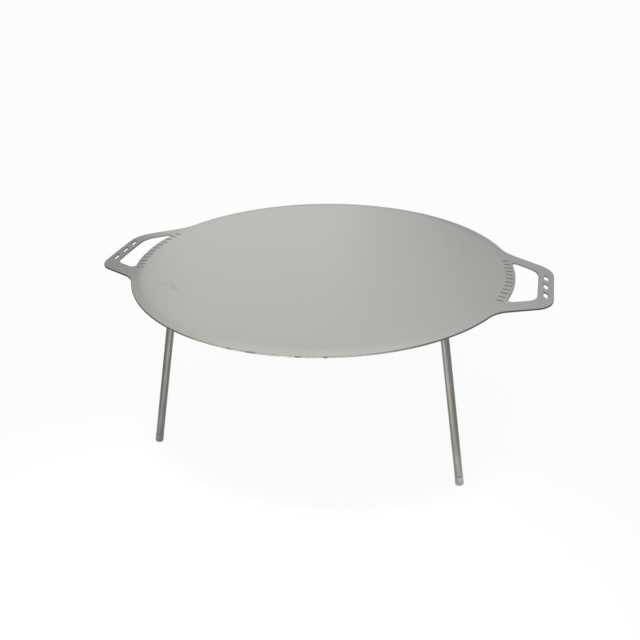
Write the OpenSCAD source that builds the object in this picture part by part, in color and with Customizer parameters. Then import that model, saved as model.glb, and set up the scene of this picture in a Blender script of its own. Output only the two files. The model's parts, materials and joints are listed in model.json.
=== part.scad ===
// Camp griddle plate: a round pressed steel griddle with two cut-out handles.
// It stands on three splayed tube legs that screw into sockets welded under it.
// The origin is on the ground, under the middle of the plate.
// X runs through both handles, Y points away from the cook and Z is up.

/* [Plate] */
// Diameter of the round plate, without its handles
plate_d = 580; // [480:1:700]
// Thickness of the steel sheet
sheet_t = 2.5; // [1.5:0.1:4]
// Width of the sloping rim, from its bend to the plate's edge
rim_w = 12.5; // [10:0.5:30]
// Angle by which the rim and the handles slope down
rim_angle = 5; // [2:0.25:8]
// Radius of the soft bend between the flat cooking face and the rim
bend_r = 115; // [60:5:140]

/* [Handles] */
// How far each handle reaches out past the plate's edge
handle_out = 54.5; // [48:0.5:70]
// Length of the grip bar between its corners, before they are rounded
handle_l = 132; // [110:1:160]
// Width of the grip bar
handle_bar_w = 22.5; // [18:0.5:26]
// Width of the slanted arm at each end of the grip bar
handle_arm_w = 24; // [18:0.5:26]
// Slant of the arms, measured from the X axis
handle_slant = 30; // [20:1:34]
// Radius of the rounded outer corners
handle_corner_r = 42; // [15:1:45]
// Radius of the fillet where an arm meets the round plate
handle_root_r = 56; // [20:1:70]
// How far the finger hole cuts into the round plate
finger_cut = 0.5; // [0:0.5:4]
// Radius of the finger hole's outer corners
finger_corner_r = 26; // [10:1:30]
// Radius of the finger hole's inner corners
finger_root_r = 5; // [2:0.5:6]

/* [Cut-outs] */
// Length of one slot in the grip bar
grip_slot_l = 16; // [10:0.5:20]
// Width of one slot in the grip bar
grip_slot_w = 6; // [4:0.2:9]
// How far a slot's ends lean over
grip_slot_lean = 5.5; // [0:0.5:7]
// Distance from one slot of the grip bar to the next
grip_slot_pitch = 30.5; // [28:0.5:34]
// Number of slots in the grip bar
grip_slot_n = 3; // [1:1:3]
// Length of one heat slit in the rim
slit_l = 10; // [6:0.5:12]
// Width of one heat slit
slit_w = 2.2; // [1.2:0.1:4]
// Metal left between the heat slits and the finger hole
slit_edge = 3.5; // [2:0.5:6]
// Distance from one heat slit to the next, along their row
slit_pitch = 13.4; // [8:0.1:14]
// Number of heat slits beside each handle
slit_n = 12; // [4:1:13]

/* [Legs] */
// Outer diameter of a leg tube
leg_d = 12; // [11.5:0.1:16]
// Wall of a leg tube
leg_wall = 1.5; // [1.2:0.1:2]
// Length of a leg from its socket to its ground end
leg_l = 250; // [150:1:400]
// Angle by which the legs lean outwards
leg_splay = 10.5; // [4:0.1:15]
// Distance from the plate's edge to the point where a leg's axis meets its underside
leg_inset = 63; // [46:1:120]

/* [Leg sockets] */
// Outer diameter of a socket
socket_d = 20; // [17:0.5:26]
// Length of a socket along the leg's axis
socket_l = 25; // [22:0.5:35]
// Size of the weld bead round a socket
weld_r = 4; // [2:0.5:6]

/* [Leg studs] */
// Diameter of the threaded stud on top of a leg
stud_d = 10; // [9.4:0.1:10.4]
// Length of the thread that enters the socket
stud_thread_l = 16; // [10:0.5:17]
// Length of the stud's shank inside the tube
stud_shank_l = 20; // [10:1:30]
// Chamfer at the stud's tip
stud_tip = 1; // [0.5:0.1:1.5]

/* [Foot plugs] */
// How far a foot plug's head stands out past the tube
foot_lip = 0.2; // [0:0.1:3]
// Length of a foot plug's head
foot_l = 14; // [8:0.5:25]
// Rounding of the ground end
foot_round = 2.5; // [1:0.1:4]
// Length of a foot plug's shank inside the tube
foot_shank_l = 18; // [8:1:30]

/* [Fits] */
// Radial clearance of the thread in its socket
thread_clear = 0.05; // [0.02:0.01:0.1]
// Room left between the stud's tip and the socket's end
thread_end_gap = 2; // [1:0.5:3]
// Radial clearance of the shanks in the tube, closed by a drop of weld
shank_clear = 0.02; // [0.01:0.01:0.05]

/* [Hidden] */
$fn = 96;
// Extra length of a cutting tool past the face that it cuts
cut = 1;
// Steps in the soft bend
bend_steps = 8;
// How far a rounding reaches into its neighbours, so that no two faces only graze each other
graze = 0.03;

// The first leg stands at the front left, the second at the front right and the third behind
leg_angles = [210, 330, 90];
leg_ids = [0 : len(leg_angles) - 1];

function leg_names(stem) = [for (i = leg_ids) str(stem, "_", i + 1)];

// Heights, which follow from the legs: a foot's rounded edge rests on the ground at height 0
foot_r = leg_d / 2 + foot_lip;
leg_end = socket_l + leg_l;
plate_under_z = cos(leg_splay) * (leg_end - foot_round)
    + sin(leg_splay) * (foot_r - foot_round) + foot_round;
plate_top_z = plate_under_z + sheet_t;

// Plate outline
plate_r = plate_d / 2;
handle_reach = plate_r + handle_out;
finger_reach = handle_reach - handle_bar_w;
finger_r = plate_r - finger_cut;
// Direction of an arm's outward normal, and of its edge towards the plate
arm_n = [sin(handle_slant), cos(handle_slant)];
arm_t = [-cos(handle_slant), sin(handle_slant)];
// Distances from the plate's axis to the arm's outer edge and to the finger hole's slanted edge
arm_out = arm_n * [handle_reach, handle_l / 2];
arm_in = arm_out - handle_arm_w;

// Rim bend: the flat ends and the slope starts at equal distances from the theoretical bend line
bend_line_r = plate_r - rim_w;
bend_half = bend_r * tan(rim_angle / 2);
flat_r = bend_line_r - bend_half;
skirt_r = norm([handle_reach, handle_l / 2]) + cut;
// Room above and below the plate for the outline that trims it
trim_low = plate_under_z - skirt_r * tan(rim_angle);
trim_h = plate_top_z + cut - trim_low;

// Row of heat slits
slit_mid_r = finger_r - slit_edge - slit_l / 2;
slit_step = slit_pitch / slit_mid_r * 180 / PI;

// Leg sizes and places that follow from the plate and the fits
leg_r = plate_r - leg_inset;
tube_bore = leg_d - 2 * leg_wall;
shank_d = tube_bore - 2 * shank_clear;
bore_d = stud_d + 2 * thread_clear;
bore_l = stud_thread_l + thread_end_gap;
// How far a socket's tube is drawn above the plate's underside before it is cut level
socket_over = socket_d / 2 * tan(leg_splay) + cut;

// Centre of a circle of radius r that touches the line at distance edge and the line x = reach
function corner_centre(edge, reach, r) =
    [reach - r, (edge - r - arm_n[0] * (reach - r)) / arm_n[1]];

// Point at distance from the plate's axis, on a line parallel to the arm at distance edge
function arm_point(edge, distance) = edge * arm_n - sqrt(distance * distance - edge * edge) * arm_t;

function flip_y(p) = [p[0], -p[1]];

// A flat outline raised through the plate's whole height, which cuts or bounds it
module upright() {
    translate([0, 0, trim_low])
        linear_extrude(trim_h)
            children();
}

// A post of radius r at the flat point p
module post(p, r) {
    translate([p[0], p[1], trim_low])
        cylinder(r = r, h = trim_h);
}

module both_sides() {
    for (side = [0, 1])
        mirror([0, side, 0])
            children();
}

module both_handles() {
    for (turn = [0, 180])
        rotate([0, 0, turn])
            children();
}

// A blunt wedge across the X axis, with slanted sides at distance edge and its nose at x = reach
module handle_wedge(edge, reach, r) {
    centre = corner_centre(edge, reach, r);
    on_side = centre + r * arm_n;
    on_nose = [reach, centre[1]];
    upright()
        polygon([
            edge * arm_n, on_side, on_nose,
            flip_y(on_nose), flip_y(on_side), flip_y(edge * arm_n)
        ]);
    both_sides()
        post(centre, r - graze);
}

// The concave fillet between an arm and the round plate
module root_fillet() {
    centre = arm_point(arm_out + handle_root_r, plate_r + handle_root_r);
    on_arm = centre - handle_root_r * arm_n;
    on_plate = centre * plate_r / norm(centre);
    inside = arm_point(arm_in, plate_r);
    difference() {
        upright()
            polygon([centre, on_arm, inside, on_plate]);
        post(centre, handle_root_r + graze);
    }
}

// The metal left in the finger hole's inner corner, which rounds it
module finger_root() {
    corner = arm_point(arm_in, finger_r);
    centre = arm_point(arm_in - finger_root_r, finger_r + finger_root_r);
    on_arm = centre + finger_root_r * arm_n;
    on_plate = centre * finger_r / norm(centre);
    difference() {
        upright()
            polygon([centre, on_arm, 2 * corner - centre, on_plate]);
        post(centre, finger_root_r + graze);
    }
}

module finger_hole() {
    difference() {
        handle_wedge(arm_in, finger_reach, finger_corner_r);
        post([0, 0], finger_r);
        both_sides()
            finger_root();
    }
}

// The slanted slots of the grip bar
module grip_slots() {
    x = grip_slot_w / 2;
    y = grip_slot_l / 2;
    lean = grip_slot_lean / 2;
    for (i = [0 : grip_slot_n - 1])
        translate([handle_reach - handle_bar_w / 2, (i - (grip_slot_n - 1) / 2) * grip_slot_pitch, 0])
            upright()
                polygon([[-x, -y + lean], [x, -y - lean], [x, y - lean], [-x, y + lean]]);
}

module heat_slits() {
    for (i = [0 : slit_n - 1])
        rotate([0, 0, (i - (slit_n - 1) / 2) * slit_step])
            translate([slit_mid_r, 0, 0])
                upright()
                    square([slit_l, slit_w], center = true);
}

// Points of the sheet's section at depth below its upper face, from the bend to the skirt
function rim_line(depth) = concat(
    [for (i = [0 : bend_steps])
        let (a = rim_angle * i / bend_steps)
            [flat_r + (bend_r - depth) * sin(a),
             plate_top_z - bend_r + (bend_r - depth) * cos(a)]],
    [[skirt_r,
      plate_top_z - depth / cos(rim_angle) - (skirt_r - bend_line_r) * tan(rim_angle)]]
);

function backwards(list) = [for (i = [len(list) - 1 : -1 : 0]) list[i]];

// The pressed sheet before its outline is cut: flat, softly bent and sloping
module pressed_sheet() {
    rotate_extrude($fn = 240)
        polygon(concat(
            [[0, plate_under_z], [0, plate_top_z]],
            rim_line(0),
            backwards(rim_line(sheet_t))
        ));
}

module griddle_plate() {
    color("#b6b6ae")
        difference() {
            intersection() {
                pressed_sheet();
                union() {
                    post([0, 0], plate_r);
                    both_handles() {
                        handle_wedge(arm_out, handle_reach, handle_corner_r);
                        both_sides()
                            root_fillet();
                    }
                }
            }
            both_handles() {
                finger_hole();
                grip_slots();
                heat_slits();
            }
        }
}

// The spot where leg i meets the plate's underside
module at_root(i) {
    rotate([0, 0, leg_angles[i]])
        translate([leg_r, 0, plate_under_z])
            children();
}

// The same spot with Z running down leg i
module on_leg(i) {
    at_root(i)
        rotate([0, 180 - leg_splay, 0])
            children();
}

module socket_blank(i) {
    on_leg(i)
        translate([0, 0, -socket_over])
            cylinder(d = socket_d, h = socket_l + socket_over);
}

module leg_socket(i) {
    color("#8d8b86")
        difference() {
            socket_blank(i);
            at_root(i)
                translate([-socket_d, -socket_d, 0])
                    cube([2 * socket_d, 2 * socket_d, 2 * socket_over]);
            on_leg(i)
                translate([0, 0, socket_l - bore_l])
                    cylinder(d = bore_d, h = bore_l + cut);
        }
}

module weld_bead(i) {
    color("#6f6c68")
        difference() {
            at_root(i)
                rotate_extrude()
                    translate([socket_d / 2, 0])
                        intersection() {
                            circle(weld_r);
                            translate([-weld_r, -weld_r])
                                square([2 * weld_r, weld_r]);
                        }
            socket_blank(i);
        }
}

module leg_tube(i) {
    length = leg_l - foot_l;
    color("#9c9a94")
        on_leg(i)
            translate([0, 0, socket_l])
                difference() {
                    cylinder(d = leg_d, h = length);
                    translate([0, 0, -cut])
                        cylinder(d = tube_bore, h = length + 2 * cut);
                }
}

module leg_stud(i) {
    color("#a8a59c")
        on_leg(i) {
            translate([0, 0, socket_l])
                cylinder(d = shank_d, h = stud_shank_l);
            translate([0, 0, socket_l - stud_thread_l + stud_tip])
                cylinder(d = stud_d, h = stud_thread_l - stud_tip);
            translate([0, 0, socket_l - stud_thread_l])
                cylinder(d1 = stud_d - 2 * stud_tip, d2 = stud_d, h = stud_tip);
        }
}

module foot_plug(i) {
    color("#c4c2bb")
        on_leg(i) {
            translate([0, 0, leg_end - foot_l])
                rotate_extrude() {
                    square([foot_r, foot_l - foot_round]);
                    square([foot_r - foot_round, foot_l]);
                    intersection() {
                        translate([foot_r - foot_round, foot_l - foot_round])
                            circle(foot_round);
                        square([foot_r, foot_l]);
                    }
                }
            translate([0, 0, leg_end - foot_l - foot_shank_l])
                cylinder(d = shank_d, h = foot_shank_l);
        }
}

griddle_plate();
for (i = leg_ids) {
    leg_socket(i);
    weld_bead(i);
    leg_tube(i);
    leg_stud(i);
    foot_plug(i);
}
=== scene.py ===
# %% [markdown]
# # A camp griddle plate on three screw-in legs
# The object is a round steel griddle for an open fire. One sheet gives the plate and both handles,
# and three tube legs screw into sockets that are welded under it.
# The solids arrive as a fixed frame. This lesson dresses each of them with a finer mesh and a steel finish,
# and never moves them.

# %% Load the frame
import json
import math

import bmesh
import bpy
import numpy as np
from mathutils import Matrix, Vector
from mathutils.geometry import delaunay_2d_cdt


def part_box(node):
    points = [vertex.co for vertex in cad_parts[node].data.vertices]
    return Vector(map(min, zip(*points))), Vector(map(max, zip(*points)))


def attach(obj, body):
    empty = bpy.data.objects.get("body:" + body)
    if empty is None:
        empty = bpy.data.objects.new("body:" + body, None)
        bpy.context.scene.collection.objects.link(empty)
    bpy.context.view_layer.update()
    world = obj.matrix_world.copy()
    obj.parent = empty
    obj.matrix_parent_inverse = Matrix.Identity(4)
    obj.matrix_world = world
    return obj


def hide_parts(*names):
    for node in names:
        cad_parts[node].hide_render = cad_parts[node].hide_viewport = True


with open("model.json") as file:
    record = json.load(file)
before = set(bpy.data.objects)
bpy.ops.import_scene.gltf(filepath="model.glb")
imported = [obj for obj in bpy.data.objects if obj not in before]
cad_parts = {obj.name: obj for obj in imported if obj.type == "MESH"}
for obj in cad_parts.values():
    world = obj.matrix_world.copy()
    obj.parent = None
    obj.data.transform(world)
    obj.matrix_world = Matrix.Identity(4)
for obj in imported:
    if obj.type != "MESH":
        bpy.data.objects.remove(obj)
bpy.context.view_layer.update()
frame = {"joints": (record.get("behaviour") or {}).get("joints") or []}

MM = 0.001

# %% [markdown]
# ## One class for every node tree
# Finishes and shapes both come from node trees here. A tree can be drawn by hand or written as code.
# Code is easier to read when a socket behaves like a number, so a Wire wraps one socket,
# and an expression such as 1 - mask adds its Math nodes by itself.
# Every other kind of node comes from the method called node, which takes settings first and sockets second.

# %% The Wire class
def open_socket(sockets, key):
    """Finds a socket by its index, or by its name among the sockets that are in use."""
    if isinstance(key, int):
        return sockets[key]
    return next(s for s in sockets if s.name == key and s.enabled)


class Wire:
    """One socket of a node tree, which can be used in a sum."""

    def __init__(self, tree, socket=None):
        self.tree = tree
        self.socket = socket

    def node(self, kind, settings={}, sockets={}, out=0):
        """Adds a node: its settings first, then the values or wires of its sockets."""
        made = self.tree.nodes.new(kind)
        for name, value in settings.items():
            if name == "stops":
                set_stops(made.color_ramp, value)
            else:
                setattr(made, name, value)
        for key, value in sockets.items():
            self.plug(made, key, value)
        return Wire(self.tree, open_socket(made.outputs, out) if made.outputs else None)

    def plug(self, node, key, value):
        """Links a wire to one of a node's sockets, or sets a plain value there."""
        socket = open_socket(node.inputs, key)
        if isinstance(value, Wire):
            self.tree.links.new(value.socket, socket)
        else:
            socket.default_value = value

    def pick(self, out):
        """Another output of the node that this wire comes from."""
        return Wire(self.tree, open_socket(self.socket.node.outputs, out))

    def axis(self, name):
        """The X, Y or Z of a vector."""
        return self.node("ShaderNodeSeparateXYZ", {}, {"Vector": self}, name)

    def maths(self, operation, *values):
        return self.node("ShaderNodeMath", {"operation": operation}, dict(enumerate(values)))

    def vector_maths(self, operation, sockets, out="Vector"):
        return self.node("ShaderNodeVectorMath", {"operation": operation}, sockets, out)

    def __add__(self, other):
        return self.maths("ADD", self, other)

    def __sub__(self, other):
        return self.maths("SUBTRACT", self, other)

    def __rsub__(self, other):
        return self.maths("SUBTRACT", other, self)

    def __mul__(self, other):
        return self.maths("MULTIPLY", self, other)

    def __truediv__(self, other):
        return self.maths("DIVIDE", self, other)

    __radd__ = __add__


def set_stops(ramp, stops):
    """Gives a colour ramp its stops, each a position and a colour."""
    while len(ramp.elements) > 1:
        ramp.elements.remove(ramp.elements[-1])
    for number, (position, colour) in enumerate(stops):
        element = ramp.elements[0] if number == 0 else ramp.elements.new(position)
        element.position = position
        element.color = colour


print("methods of a Wire", [name for name in vars(Wire) if not name.startswith("_")])

# %% [markdown]
# ## Shape trees
# Geometry Nodes suit a shape that repeats or follows a rule. A tree is built once, with named inputs for its
# sizes, and then run on a mesh. The result is stored as a plain mesh and the modifier goes away,
# so that each piece stays a simple object.

# %% Helpers for shape trees
def shape_tree(name, inputs):
    """Starts a geometry tree with named inputs and returns its group input as a wire."""
    tree = bpy.data.node_groups.new(name, "GeometryNodeTree")
    tree.interface.new_socket("Geometry", in_out="INPUT", socket_type="NodeSocketGeometry")
    for label, kind in inputs.items():
        tree.interface.new_socket(label, in_out="INPUT", socket_type="NodeSocket" + kind)
    tree.interface.new_socket("Geometry", in_out="OUTPUT", socket_type="NodeSocketGeometry")
    return Wire(tree).node("NodeGroupInput")


def end_tree(shape, finishes):
    """Ends a tree: instances become real, then each finish goes on the faces that its mask selects."""
    shape = shape.node("GeometryNodeRealizeInstances", {}, {"Geometry": shape})
    for material, mask in finishes:
        sockets = {"Geometry": shape, "Material": material}
        if mask is not None:
            sockets["Selection"] = mask
        shape = shape.node("GeometryNodeSetMaterial", {}, sockets)
    shape.node("NodeGroupOutput", {}, {"Geometry": shape})
    return shape.tree


def attribute(start, name, kind="FLOAT"):
    return start.node("GeometryNodeInputNamedAttribute", {"data_type": kind}, {"Name": name}, "Attribute")


def point_axes(start):
    """The X, Y and Z of each point of a shape."""
    place = start.node("GeometryNodeInputPosition")
    return [place.axis(name) for name in "XYZ"]


def move_points(start, key, value):
    """Gives the points of a tree's shape a Position, or shifts them by an Offset."""
    return start.node("GeometryNodeSetPosition", {}, {"Geometry": start.pick("Geometry"), key: value})


def run_tree(piece, tree, **values):
    """Runs a tree on a piece and keeps the result as the piece's own plain mesh."""
    modifier = piece.modifiers.new(tree.name, "NODES")
    modifier.node_group = tree
    for item in tree.interface.items_tree:
        if item.in_out == "INPUT" and item.name.replace(" ", "_") in values:
            modifier[item.identifier] = values[item.name.replace(" ", "_")]
    graph = bpy.context.evaluated_depsgraph_get()
    made = bpy.data.meshes.new_from_object(piece.evaluated_get(graph), depsgraph=graph)
    piece.modifiers.remove(modifier)
    piece.data = made


# %% Helpers for pieces
CM = 10 * MM


def add_object(name, data):
    """A new object in the scene, at the origin."""
    made = bpy.data.objects.new(name, data)
    bpy.context.scene.collection.objects.link(made)
    return made


def new_piece(name, points, faces):
    """A mesh object at the origin."""
    mesh = bpy.data.meshes.new(name)
    mesh.from_pydata([tuple(p) for p in points], [], faces)
    mesh.shade_smooth()
    return add_object(name, mesh)


def store(piece, name, values, kind="FLOAT", domain="POINT"):
    """Keeps a value for each point or face of a piece under a name."""
    key = "vector" if kind == "FLOAT_VECTOR" else "value"
    piece.data.attributes.new(name, kind, domain).data.foreach_set(key, values)


def volume(piece):
    """The volume inside a closed mesh, in cubic centimetres. A mesh that is inside out gives less than 0."""
    shell = bmesh.new()
    shell.from_mesh(piece.data)
    found = shell.calc_volume(signed=True) / CM ** 3
    shell.free()
    return found


def hand_in(piece, body, node):
    """The piece rides on its body and stands for its solid."""
    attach(piece, body)
    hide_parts(node)
    print(f"{piece.name}: {len(piece.data.polygons)} faces, {volume(piece):.2f} cubic cm, for {node}")


# %% [markdown]
# ## Finishes
# Bare steel is never one flat grey. Rolling leaves faint streaks, pickling leaves a fine grain,
# a cutter leaves ridges on the edge, and welding colours the metal round a joint.
# Each finish below mixes near tones by a few noises, and the same noises vary its roughness and its bump.
# Painting an image would also work, but noises have no pixels and hold up at any distance.

# %% Start and end of a finish
SHADER = "Principled BSDF"
GRAZING_TINT = 0.82


def rgb(red, green, blue):
    return (red, green, blue, 1.0)


def grey(level):
    return rgb(level, level, level)


def new_material(name):
    """A new material and its first wire."""
    material = bpy.data.materials.new(name)
    material.use_nodes = True
    return material, Wire(material.node_tree)


def start_finish(name, metallic=1.0, grazing=GRAZING_TINT):
    """A new finish and its first wire. Its grazing tint is the tone at a flat angle."""
    material, wire = new_material(name)
    shader = wire.tree.nodes[SHADER]
    wire.plug(shader, "Metallic", metallic)
    wire.plug(shader, "Specular Tint", grey(grazing))
    return material, wire


def end_finish(wire, colour, rough, normal):
    """Plugs in the three things that vary over a surface."""
    for name, value in (("Base Color", colour), ("Roughness", rough), ("Normal", normal)):
        wire.plug(wire.tree.nodes[SHADER], name, value)


# %% Places, noises and blends
def object_place(wire):
    return wire.node("ShaderNodeTexCoord", {}, {}, "Object")


def stored(wire, name, out="Fac"):
    """What a piece keeps under a name."""
    return wire.node("ShaderNodeAttribute", {"attribute_name": name}, {}, out)


def piece_place(wire):
    """Places in a leg's own straight frame, which each turned piece keeps."""
    return stored(wire, "turned_place", "Vector")


def noise(place, scale, stretch=(1, 1, 1), detail=2.0):
    """A noise between 0 and 1. Its scale is in lumps per metre, times the stretch along each axis."""
    turned = place.node("ShaderNodeMapping", {}, {"Vector": place, "Scale": [scale * s for s in stretch]})
    return place.node("ShaderNodeTexNoise", {}, {"Vector": turned, "Scale": 1.0, "Detail": detail}, "Fac")


def blend(value, low, high, first=0.0, last=1.0):
    """Eases from first to last while value goes from low to high."""
    return value.node(
        "ShaderNodeMapRange",
        {"interpolation_type": "SMOOTHSTEP"},
        {"Value": value, "From Min": low, "From Max": high, "To Min": first, "To Max": last},
        "Result",
    )


def mix(share, first, second):
    """A colour between two colours."""
    sockets = {"Factor": share, "A": first, "B": second}
    return share.node("ShaderNodeMix", {"data_type": "RGBA"}, sockets, "Result")


def ramp(share, stops):
    """A colour that follows a list of stops, each a share and a colour."""
    return share.node("ShaderNodeValToRGB", {"stops": stops}, {"Fac": share}, "Color")


def sway(value, width):
    """A noise as a swing round 0, as wide as stated."""
    return (value - 0.5) * width


def bump(height, depth):
    """A surface that stands up by depth, in metres, where height goes from 0 to 1."""
    sockets = {"Strength": 1.0, "Distance": depth, "Height": height}
    return height.node("ShaderNodeBump", {}, sockets, "Normal")


# %% Distances and angles on the plate
def flattened(place):
    return place.vector_maths("MULTIPLY", {0: place, 1: (1, 1, 0)})


def distance_out(place):
    """Distance from the Z axis."""
    return place.vector_maths("LENGTH", {0: flattened(place)}, "Value")


def degrees_round(place):
    """The angle round the Z axis, from -180 to 180 degrees."""
    return place.maths("ARCTAN2", place.axis("Y"), place.axis("X")) * (180 / math.pi)


def distance_to_stroke(place, first, last):
    """Flat distance from a straight stroke between two points of the plate."""
    flat = flattened(place)
    along = Vector((last[0] - first[0], last[1] - first[1], 0))
    step = flat.vector_maths("SUBTRACT", {0: flat, 1: (first[0], first[1], 0)})
    share = flat.vector_maths("DOT_PRODUCT", {0: step, 1: along / along.length_squared}, "Value")
    share = share.maths("MINIMUM", share.maths("MAXIMUM", share, 0.0), 1.0)
    nearest = flat.vector_maths("SCALE", {0: tuple(along), "Scale": share})
    return flat.vector_maths("DISTANCE", {0: step, 1: nearest}, "Value")


# %% [markdown]
# ## The griddle's face
# The cooking face is a matt, slightly warm grey. It is even, with a fine grain that shows only from close by.
# Two small marks break it: a scuff over the front left leg, and a dark speck towards the right handle.
# The rim is painted a little paler at the front, a painted highlight for the light that the bent rim catches
# there.
# The underside is the same sheet with the colours that welding leaves: blue by the bead, then brown,
# then straw.

# %% Face finish
FACE_DARK = rgb(0.490, 0.492, 0.462)
FACE_LIGHT = rgb(0.560, 0.562, 0.528)
MARK_TONE = rgb(0.34, 0.34, 0.325)
SHEET_BUMP = 0.004 * MM
# The tone of the painted highlight on the front of the rim.
PAINTED_RIM_SHEEN_TONE = rgb(0.61, 0.61, 0.575)
# The painted highlight on the front rim grows between these radii, and fades between these angles from its
# middle.
PAINTED_SHEEN_RADII = (268 * MM, 279 * MM)
PAINTED_SHEEN_MIDDLE = -82
PAINTED_SHEEN_DEGREES = (12, 36)
PAINTED_SHEEN_SHARE = 0.5
SCUFF_STROKES = [
    ((-0.2155, -0.1252), (-0.2050, -0.1195)),
    ((-0.2000, -0.1200), (-0.1805, -0.1395)),
    ((-0.1906, -0.1365), (-0.1830, -0.1390)),
]
SCUFF_REACH = 4.5 * MM
SCUFF_SHARE = 0.45
SPECK_STROKE = ((0.2015, 0.1115), (0.2080, 0.1140))
SPECK_REACH = (0.5 * MM, 3.2 * MM)
SPECK_SHARE = 0.75
HALO_STROKE = ((0.1950, 0.0990), (0.1985, 0.1090))
HALO_REACH = 6 * MM
HALO_SHARE = 0.5


def rolled_steel(place):
    """Grain and streaks of rolled sheet: a colour, a roughness and a bump height."""
    cloud = noise(place, 9, detail=3.0)
    streak = noise(place, 6, (1, 70, 1))
    grain = noise(place, 1500)
    speckle = noise(place, 650)
    tone = 0.5 + sway(cloud, 0.3) + sway(streak, 0.12) + sway(grain, 0.5) + sway(speckle, 2.4)
    rough = 0.30 + sway(cloud, 0.03) + sway(grain, 0.10)
    return mix(tone, FACE_DARK, FACE_LIGHT), rough, grain + streak * 0.5


def face_finish():
    material, wire = start_finish("griddle_face_steel")
    place = object_place(wire)
    colour, rough, height = rolled_steel(place)
    # The paler band on the front of the rim is a painted highlight.
    off = wire.maths("ABSOLUTE", degrees_round(place) - PAINTED_SHEEN_MIDDLE)
    rub_and_painted_sheen = blend(distance_out(place), *PAINTED_SHEEN_RADII) * blend(off, *PAINTED_SHEEN_DEGREES, PAINTED_SHEEN_SHARE, 0.0)
    colour = mix(rub_and_painted_sheen, colour, PAINTED_RIM_SHEEN_TONE)
    broken = blend(noise(place, 500), 0.35, 0.6)
    for first, last in SCUFF_STROKES:
        scuff = blend(distance_to_stroke(place, first, last), 0.0, SCUFF_REACH, SCUFF_SHARE, 0.0)
        colour = mix(scuff * broken, colour, MARK_TONE)
    halo = blend(distance_to_stroke(place, *HALO_STROKE), 0.0, HALO_REACH, HALO_SHARE, 0.0)
    colour = mix(halo, colour, FACE_LIGHT)
    speck = blend(distance_to_stroke(place, *SPECK_STROKE), *SPECK_REACH, SPECK_SHARE, 0.0)
    end_finish(wire, mix(speck, colour, MARK_TONE), rough, bump(height, SHEET_BUMP))
    return material


# %% Underside finish
HEAT_COLOURS = [
    (0.00, rgb(0.20, 0.20, 0.21)),
    (0.34, rgb(0.24, 0.27, 0.36)),
    (0.48, rgb(0.36, 0.27, 0.33)),
    (0.60, rgb(0.50, 0.39, 0.24)),
    (0.80, rgb(0.54, 0.50, 0.40)),
]
HEAT_REACH = 42 * MM
HEAT_FULL = 0.55 * HEAT_REACH
HEAT_RAGGED = 6 * MM


def underside_finish(roots):
    material, wire = start_finish("griddle_underside_steel")
    place = object_place(wire)
    plain, rough, height = rolled_steel(place)
    gaps = [place.vector_maths("DISTANCE", {0: place, 1: tuple(root)}, "Value") for root in roots]
    nearest = gaps[0]
    for gap in gaps[1:]:
        nearest = gap.maths("MINIMUM", gap, nearest)
    ragged = nearest + sway(noise(place, 160), HEAT_RAGGED)
    heat = ramp(ragged / HEAT_REACH, HEAT_COLOURS)
    heated = blend(ragged, HEAT_FULL, HEAT_REACH, 1.0, 0.0)
    end_finish(wire, mix(heated, plain, heat), rough + heated * 0.08, bump(height, SHEET_BUMP))
    return material


# %% [markdown]
# ## The cut edge
# A cutting beam leaves fine upright ridges and a dark skin on the edge. The plate's axis is the Z axis here,
# so the angle round it says where on the edge a point lies. The tone follows that angle: the dark skin at the
# sides and the back, and a pale front stretch, which is a painted highlight, with a few dark nicks and a
# painted glint.
# The edges of the holes have one tone all round, between the two.

# %% Cut edge finish
# Tones by degrees round the plate: the cut's dark skin at the sides and the back, and a painted highlight
# that makes the front stretch pale.
EDGE_SKIN_AND_PAINTED_SHEEN = [
    (-150, rgb(0.075, 0.075, 0.073)),
    (-132, rgb(0.115, 0.112, 0.108)),
    (-117, rgb(0.205, 0.193, 0.182)),
    (-104, rgb(0.520, 0.470, 0.430)),
    (-96, rgb(0.490, 0.465, 0.440)),
    (-66, rgb(0.450, 0.448, 0.430)),
    (-51, rgb(0.205, 0.205, 0.200)),
    (-27, rgb(0.112, 0.112, 0.109)),
]
EDGE_GRAZING_TINT = 0.35
NICK_TONE = rgb(0.12, 0.12, 0.117)
# The tone of a painted glint on the front edge.
PAINTED_GLINT_TONE = rgb(0.60, 0.59, 0.57)
# Dark nicks, and one painted glint at -85 degrees, each with a half width in degrees.
EDGE_NICKS_AND_PAINTED_GLINT = [
    (-99.6, 0.6, NICK_TONE),
    (-93.8, 1.8, NICK_TONE),
    (-81.8, 0.9, NICK_TONE),
    (-75.0, 0.7, NICK_TONE),
    (-85.4, 1.3, PAINTED_GLINT_TONE),
]
MARK_SHARE = 0.7
RIDGE_BUMP = 0.02 * MM
HOLE_TONES = [(0, rgb(0.290, 0.283, 0.262))]


def edge_finish(name, tones, marks):
    """An edge whose tones, and marks with a half width, are placed by their degrees round the plate."""
    material, wire = start_finish(name, grazing=EDGE_GRAZING_TINT)
    place = object_place(wire)
    angle = degrees_round(place)
    # On the outer edge this ramp of tones carries the painted highlight at the front.
    colour = ramp((angle + 180) / 360, [((degrees + 180) / 360, tone) for degrees, tone in tones])
    for middle, half, tone in marks:
        off = wire.maths("ABSOLUTE", angle - middle)
        colour = mix(blend(off, half * 0.5, half, MARK_SHARE, 0.0), colour, tone)
    ridges = noise(place, 1300, (1, 1, 0.06))
    colour = mix(blend(ridges, 0.35, 0.65, 0.4, 0.0), colour, NICK_TONE)
    end_finish(wire, colour, 0.42 + sway(ridges, 0.2), bump(ridges, RIDGE_BUMP))
    return material


# %% [markdown]
# ## Leg finishes
# A leg is a drawn tube: its streaks run lengthwise, with a brownish cast in places. The foot is a turned plug
# with fine rings round it. Each leg has been pushed into the ground in its own way, so its lower end
# and its foot are rubbed pale by a share of their own. The stud is threaded, with dark oil in its grooves.
# The socket was heated by welding, so it goes from dark blue at its root to plain grey at its mouth.
# These patterns follow each piece's own axis, so the pieces carry a turned_place attribute.

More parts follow.
